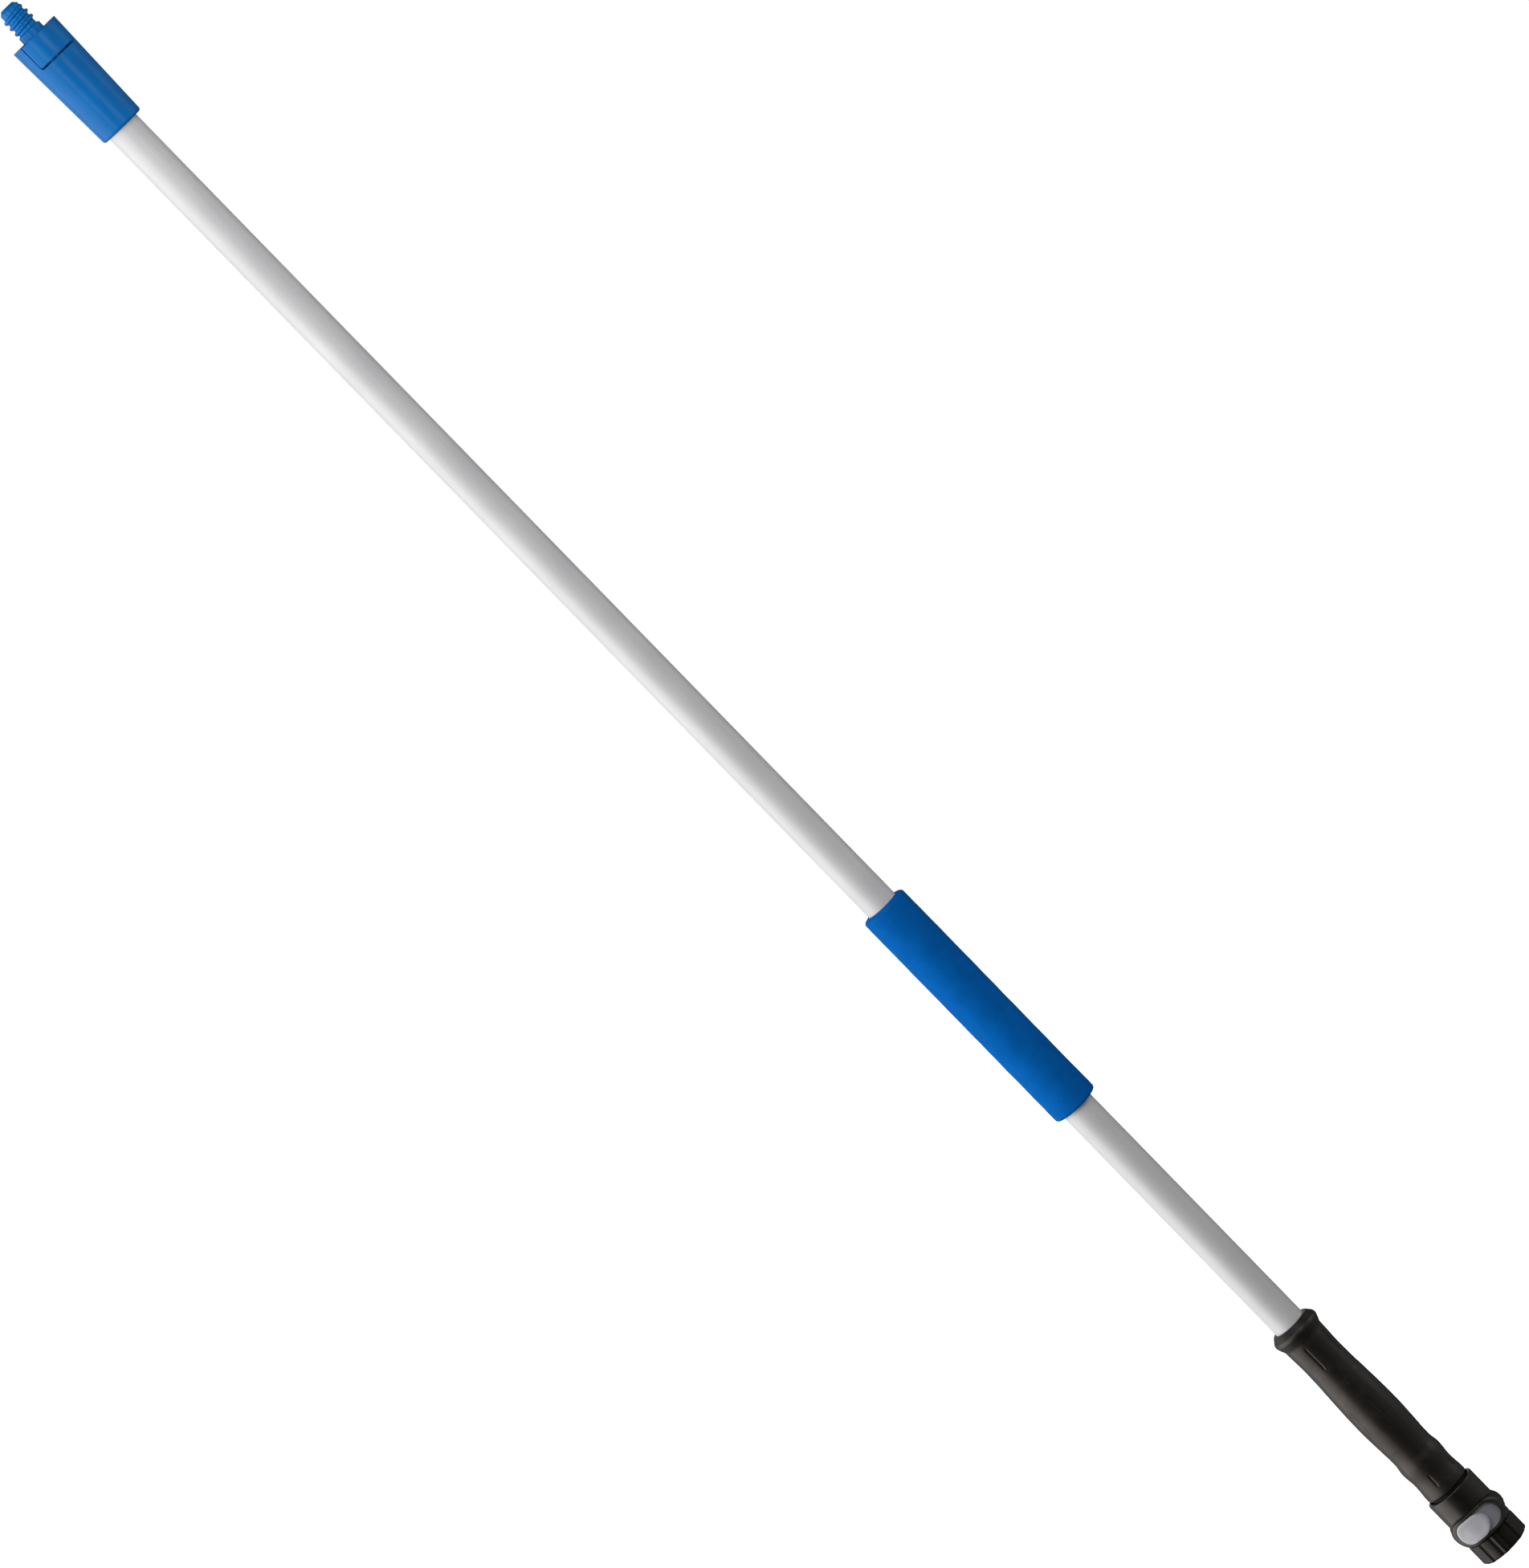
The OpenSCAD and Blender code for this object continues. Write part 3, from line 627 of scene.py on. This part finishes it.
track_lo, track_hi = box_mm("slider_track")
pad_lo, pad_hi = box_mm("thumb_slider")
body_r = body_hi.y
boss_w, boss_r = body_hi.x - 0.4, bend_y - body_lo.y
boss_z = (track_lo.z + track_hi.z) / 2
boss_h = 11.8
win_w, win_h = track_hi.x + 0.05, (track_hi.z - track_lo.z) / 2 + 0.05
track_r = bend_y - track_lo.y
CUP_R, COLLAR_R = 17.6, 14.6
TAIL_BORE_R, INLET_R, PASSAGE_R = 10.05, 8.9, 4.5

body_outline = rounded([
    (TAIL_BORE_R, body_lo.z, 0), (body_r, body_lo.z, 0.5), (body_r, cup_top, 1.3), (CUP_R, cup_top, 0.5),
    (CUP_R, cup_top - 5, 0.4), (COLLAR_R, cup_top - 5, 0.2), (COLLAR_R, body_hi.z, 0.3),
    (GLUE_R, body_hi.z, 0.2), (GLUE_R, tube_lo.z, 0), (PASSAGE_R, tube_lo.z, 0),
    (PASSAGE_R, body_lo.z + 23, 0), (INLET_R, body_lo.z + 23, 0), (INLET_R, body_lo.z + 5.5, 0),
    (TAIL_BORE_R, body_lo.z + 5.5, 0),
], 5)

ARC = [math.radians(a) for a in range(0, 91, 15)]


def rolled(half_w, half_h, bend, across, down, deep, first=0):
    """Levels that round an edge over: they draw in by (across, down) while they sink by deep."""
    return [(half_w - across * (1 - math.cos(t)), half_h - down * (1 - math.cos(t)),
             bend - deep * (1 - math.sin(t)), 0) for t in ARC[first:]]


boss_levels = (
    [(boss_w - 1.2, boss_h - 0.6, 0, 5.2), (boss_w - 0.35, boss_h - 0.18, 0, 4.4), (boss_w, boss_h, 0, 3.2),
     (boss_w, boss_h, 0, -4.5)]
    + rolled(boss_w, boss_h, boss_r, 2.3, 1.25, 2.1)
    + [(win_w + 1.0, win_h + 0.6, boss_r, 0)]
)
window_levels = (
    [(win_w, win_h, track_r - 1.2, 0), (win_w, win_h, boss_r - 0.55, 0)]
    + rolled(win_w, win_h, boss_r, -0.5, -0.5, 0.55, 1)
    + [(win_w + 0.55, win_h + 0.55, boss_r + 0.6, 0)]
)
piece("valve_housing", turned(body_outline, 200), "pole", ["valve_body"], BLACK, tools=[
    ("UNION", front_loft(boss_levels, boss_z)), ("DIFFERENCE", front_loft(window_levels, boss_z)),
], sharp=math.radians(34))

# Small upright ribs on the boss's two ends. Each is a strip of sections: (height, how far it stands out).
RIB = [(-0.75, -0.25), (-0.45, 0.75), (0, 1.0), (0.45, 0.75), (0.75, -0.25)]
RIB_STEPS, RIB_RISE = 16, 0.42
ribs = []
for end in (-1, 1):
    for k in range(-2, 3):
        z = boss_z + k * 3.1
        verts, faces = [], []
        for i in range(RIB_STEPS + 1):
            rise = RIB_RISE * math.sin(math.pi * i / RIB_STEPS) ** 0.5
            for dz, share in RIB:
                reach = boss_w - boss_h + math.sqrt(boss_h ** 2 - (z + dz - boss_z) ** 2)
                x = reach + (rise * share if share > 0 else share)
                verts.append((end * min(x, body_hi.x - 0.01), -5.5 + 8.5 * i / RIB_STEPS, z + dz))
        for i in range(RIB_STEPS):
            faces += [(i * 5 + j, i * 5 + j + 1, i * 5 + j + 6, i * 5 + j + 5) for j in range(4)]
            faces.append((i * 5 + 4, i * 5, i * 5 + 5, i * 5 + 9))
        faces.append(tuple(range(5)))
        faces.append(tuple(reversed(range(RIB_STEPS * 5, RIB_STEPS * 5 + 5))))
        ribs.append((verts, faces))
piece("boss_ribs", joined(*ribs), "pole", ["valve_body"], BLACK)

plate_w, plate_h = track_hi.x, (track_hi.z - track_lo.z) / 2
slot_z = boss_z + 1.9
slot_w = track_r * math.sin(math.radians(half_swing)) + 1
PLATE_STEPS = [(0, 1.45), (0, 0.35), (0.1, 0.1), (0.35, 0), (1.1, 0), (1.5, 0.12), (3, 0.14), (6, 0.14)]
plate_levels = [(plate_w - inset, plate_h - inset, track_r - sunk, 0) for inset, sunk in PLATE_STEPS]
# The plate's darker grey is painted shade of the recess round the thumb pad.
piece("track_plate", front_loft(plate_levels, boss_z), "pole", ["slider_track"], TRACK_SHADED_GREY,
      tools=[("DIFFERENCE", block(-slot_w, slot_w, -40, -5, slot_z - 1.4, slot_z + 1.4))], bevel=0.12)

pad_w = (pad_hi.x - pad_lo.x) / 2 / math.cos(math.radians(half_swing))
pad_h = (pad_hi.z - pad_lo.z) / 2
pad_r = bend_y - pad_lo.y
pad_levels = (
    [(pad_w - 0.3, pad_h - 0.3, pad_r - 3.4, 0), (pad_w, pad_h, pad_r - 3.1, 0),
     (pad_w, pad_h, pad_r - 1.1, 0)]
    + rolled(pad_w, pad_h, pad_r, 1.05, 1.05, 1.1, 1)
    + [(pad_w - inset, pad_h - inset, pad_r - 0.6 * smoothstep(1.1, 6.0, inset), 0)
       for inset in (1.5, 2.1, 2.8, 3.6, 4.5, 5.5, 6.6, 7.8, 8.9)]
)
pad_rib = block(-0.8, 0.8, bend_y - pad_r + 3.0, -15.7, slot_z - 1.3, slot_z + 1.3)
piece("thumb_pad", swung(joined(front_loft(pad_levels, boss_z), pad_rib), -half_swing), "slider",
      ["thumb_slider"], PAD)


# ---------------------------------------------------------------- swivel nut and hose end

nut_hi = box_mm("hose_nut")[1]
nut_r, nut_top = nut_hi.x, nut_hi.z
hose = mounts["hose_thread"]["dims"]
bore_r = hose["r_mm"]
bore_top = mounts["hose_thread"]["pos_m"][2] / MM + hose["length_mm"]
WALL_R, RIBS, RIB_FIRST = nut_r - 0.8, 8, -87.0
HOSE_PITCH, HOSE_DEPTH = 2.209, 1.15


def nut_warp(r, z, angle):
    """Raises the finger ribs on the nut's wall, and cuts the hose thread into its bore."""
    if r > 16:
        off = ((math.degrees(angle) - RIB_FIRST + 180 / RIBS) % (360 / RIBS)) - 180 / RIBS
        across = abs(math.radians(off) * nut_r)
        edge = smoothstep(-0.2, 1.6, z) * smoothstep(nut_top + 0.2, nut_top - 1.0, z)
        share = smoothstep(15.8, WALL_R - 0.8, r)
        r += (nut_r - WALL_R) * (1 - smoothstep(1.1, 2.7, across)) * share * (0.55 + 0.45 * edge)
        r -= 0.22 * smoothstep(2.5, 3.4, across) * (1 - smoothstep(3.4, 5.4, across)) * share
    elif abs(r - bore_r) < 0.02 and 0.6 < z < bore_top:
        turns = z / HOSE_PITCH - math.degrees(angle) / 360
        off = abs(turns - round(turns)) * 2
        along = smoothstep(0.6, 1.6, z) * smoothstep(bore_top - 0.1, bore_top - 0.9, z)
        r += HOSE_DEPTH * smoothstep(0.25, 0.75, off) * along
    return r, z


SWIVEL_R, LIP_H, RELIEF_R = 10.06, 2.95, 12.9
nut_outline = denser(rounded([
    (bore_r + 1.0, 0, 0.15), (WALL_R, 0, 1.5), (WALL_R, nut_top, 0.6), (SWIVEL_R, nut_top, 0.15),
    (SWIVEL_R, nut_top - LIP_H, 0.1), (RELIEF_R, nut_top - LIP_H, 0.1), (RELIEF_R, bore_top, 0.1),
    (bore_r, bore_top, 0), (bore_r, 1.0, 0.1),
], 6), 0.45)
piece("nut_shell", turned(nut_outline, 320, warp=nut_warp), "nut", ["hose_nut"], NUT)

washer_lo, washer_hi = box_mm("hose_washer")
WASHER_BORE_R, RING_W = 7.5, 0.875
washer_outline = rounded([
    (WASHER_BORE_R, washer_lo.z, 0.25), (washer_hi.x, washer_lo.z, 0.35), (washer_hi.x, washer_hi.z, 0.2),
    (WASHER_BORE_R, washer_hi.z, 0.2),
], 4)


def washer_warp(r, z, angle):
    """Two fine sealing rings moulded on the washer's face."""
    if z < washer_lo.z + 0.05:
        z += 0.14 * (1 - math.cos(math.pi * (r - WASHER_BORE_R) / RING_W)) / 2
    return r, z


piece("washer_ring", turned(denser(washer_outline, 0.25), 144, warp=washer_warp), "pole", ["hose_washer"],
      RUBBER)

screen_lo, screen_hi = box_mm("inlet_screen")
screen_r = screen_hi.x
MESH_STEP, WIRE_R, WIRE_STEPS = 2.2, 0.25, 4
frame_outline = rounded([
    (screen_r - 0.8, screen_lo.z, 0.15), (screen_r, screen_lo.z, 0.2), (screen_r, screen_hi.z, 0.1),
    (screen_r - 0.8, screen_hi.z, 0.1),
], 3)
wire_section = [(WIRE_R * math.cos(math.radians(45 * k)), WIRE_R * math.sin(math.radians(45 * k)))
                for k in range(8)]
screen_parts = [turned(frame_outline, 96)]
for crossways in (False, True):
    for i in range(-2, 3):
        reach = math.sqrt((screen_r - 0.4) ** 2 - (MESH_STEP * i) ** 2)
        verts, faces = [], []
        for k in range(WIRE_STEPS + 1):
            for u, v in wire_section:
                x = (2 * k / WIRE_STEPS - 1) * reach
                y = MESH_STEP * i + u
                verts.append((y if crossways else x, x if crossways else y, screen_hi.z - 0.42 + v * 1.4))
        for k in range(WIRE_STEPS):
            faces += [(k * 8 + m, k * 8 + (m + 1) % 8, (k + 1) * 8 + (m + 1) % 8, (k + 1) * 8 + m)
                      for m in range(8)]
        faces.append(tuple(range(8)))
        faces.append(tuple(reversed(range(WIRE_STEPS * 8, WIRE_STEPS * 8 + 8))))
        screen_parts.append((verts, faces))
piece("screen_grid", joined(*screen_parts), "pole", ["inlet_screen"], NATURAL)


# ---------------------------------------------------------------- floor, light and camera

FLOOR_R, FLOOR_SIDES, FLOOR_Z = 60.0, 48, -0.0004        # metres
rim = [math.tau * k / FLOOR_SIDES for k in range(FLOOR_SIDES)]
floor_mesh = bpy.data.meshes.new("floor")
floor_mesh.from_pydata([(FLOOR_R * math.cos(a), FLOOR_R * math.sin(a), FLOOR_Z) for a in rim], [],
                       [tuple(range(FLOOR_SIDES))])
floor = link(bpy.data.objects.new("floor", floor_mesh))
# Only the camera sees the floor. The pole is lit from below by the world, as if there were no floor.
floor.visible_glossy = floor.visible_diffuse = floor.visible_shadow = False
g = Graph("studio_floor")
seen = g.add("LightPath").outputs["Is Camera Ray"]
tone = g.blend(g.spread(g.noise(900, 3), 0.3, 0.7), rgb(0.84, 0.84, 0.84), rgb(0.87, 0.87, 0.87))
tone = g.blend(seen, rgb(0.16, 0.16, 0.16), tone)
lit = g.add("BsdfDiffuse", {"Color": tone})
glow = g.add("Emission", {"Color": rgb(1, 1, 1), "Strength": g.math("MULTIPLY", seen, 0.86)})
both = g.add("AddShader", {0: lit.outputs[0], 1: glow.outputs[0]})
g.add("OutputMaterial", {"Surface": both.outputs[0]})
floor_mesh.materials.append(g.material)

scene = bpy.context.scene
scene.view_settings.view_transform = "Standard"
scene.view_settings.look = "None"
world = bpy.data.worlds.new("studio")
scene.world = world
world.use_nodes = True
tree = world.node_tree
tree.nodes.clear()


def ramp(start, end):
    """0 to 1 as the world's direction along X goes from start to end."""
    return add_node(tree, "MapRange", {"Value": sideways, "From Min": start, "From Max": end, "To Min": 0.0,
                                       "To Max": 1.0}, interpolation_type="SMOOTHSTEP").outputs[0]


# Two soft panels of light at the sides, over a dim room. The camera sees plain white instead.
direction = add_node(tree, "TexCoord").outputs["Generated"]
sideways = add_node(tree, "SeparateXYZ", {0: direction}).outputs["X"]
total = 0.055
for share, level in ((ramp(-0.3, -0.85), 0.6), (ramp(0.3, 0.9), 0.24)):
    total = add_node(tree, "Math", {0: share, 1: level, 2: total}, operation="MULTIPLY_ADD").outputs[0]
dim = add_node(tree, "Background", {"Color": rgb(1, 0.99, 0.98), "Strength": total})
white = add_node(tree, "Background", {"Color": rgb(1, 1, 1), "Strength": 1.0})
seen = add_node(tree, "LightPath").outputs["Is Camera Ray"]
mix = add_node(tree, "MixShader", {0: seen, 1: dim.outputs[0], 2: white.outputs[0]})
add_node(tree, "OutputWorld", {"Surface": mix.outputs[0]})


def soft_light(name, place, aim, width, height, power, color=(1, 1, 1)):
    """A rectangular lamp, in metres and watts, that the camera does not see."""
    data = bpy.data.lights.new(name, "AREA")
    data.shape, data.size, data.size_y = "RECTANGLE", width, height
    data.energy, data.color = power, color
    obj = link(bpy.data.objects.new(name, data))
    obj.location = place
    obj.rotation_mode = "QUATERNION"
    obj.rotation_quaternion = (Vector(aim) - Vector(place)).to_track_quat("-Z", "Y")
    obj.visible_camera = False


middle = (cad_bounds[0] + cad_bounds[1]) / 2
soft_light("key", (-3.2, -0.85, 0.85), middle, 4.4, 4.0, 128, (1.0, 0.985, 0.96))
soft_light("strip_left", (-0.8, -2.05, 1.75), (0, 0, 1.5), 0.2, 1.0, 14)
soft_light("strip_right", (1.1, -1.9, 1.75), (0, 0, 1.5), 0.2, 1.0, 14)
soft_light("high", (0.8, -2.2, 3.2), (0, 0, 1.3), 1.4, 1.0, 16)
soft_light("fill", (3.2, 0.3, 1.0), middle, 1.4, 2.4, 15)
soft_light("back", (-0.5, 2.8, 1.4), middle, 1.8, 2.2, 8)

camera = bpy.data.cameras.new("camera")
camera.lens, camera.sensor_width, camera.sensor_fit = 196.67, 36.0, "AUTO"
camera.clip_start, camera.clip_end = 0.1, 200
eye = link(bpy.data.objects.new("camera", camera))
AZIMUTH, DISTANCE, EYE_Z, ROLL = math.radians(7.7), 6.0, 1.45, math.radians(44.256)
AIM_X, AIM_RISE = 0.0005, 0.00276         # metres, from the pole's axis and its middle
place = Vector((DISTANCE * math.sin(AZIMUTH), -DISTANCE * math.cos(AZIMUTH), EYE_Z))
forward = (Vector((AIM_X, 0.0, middle.z + AIM_RISE)) - place).normalized()
across = forward.cross(Vector((0, 0, 1))).normalized()
upward = across.cross(forward)
turned_x = across * math.cos(ROLL) - upward * math.sin(ROLL)
turned_y = across * math.sin(ROLL) + upward * math.cos(ROLL)
basis = Matrix((turned_x, turned_y, -forward)).transposed().to_4x4()
eye.matrix_world = Matrix.Translation(place) @ basis
scene.camera = eye
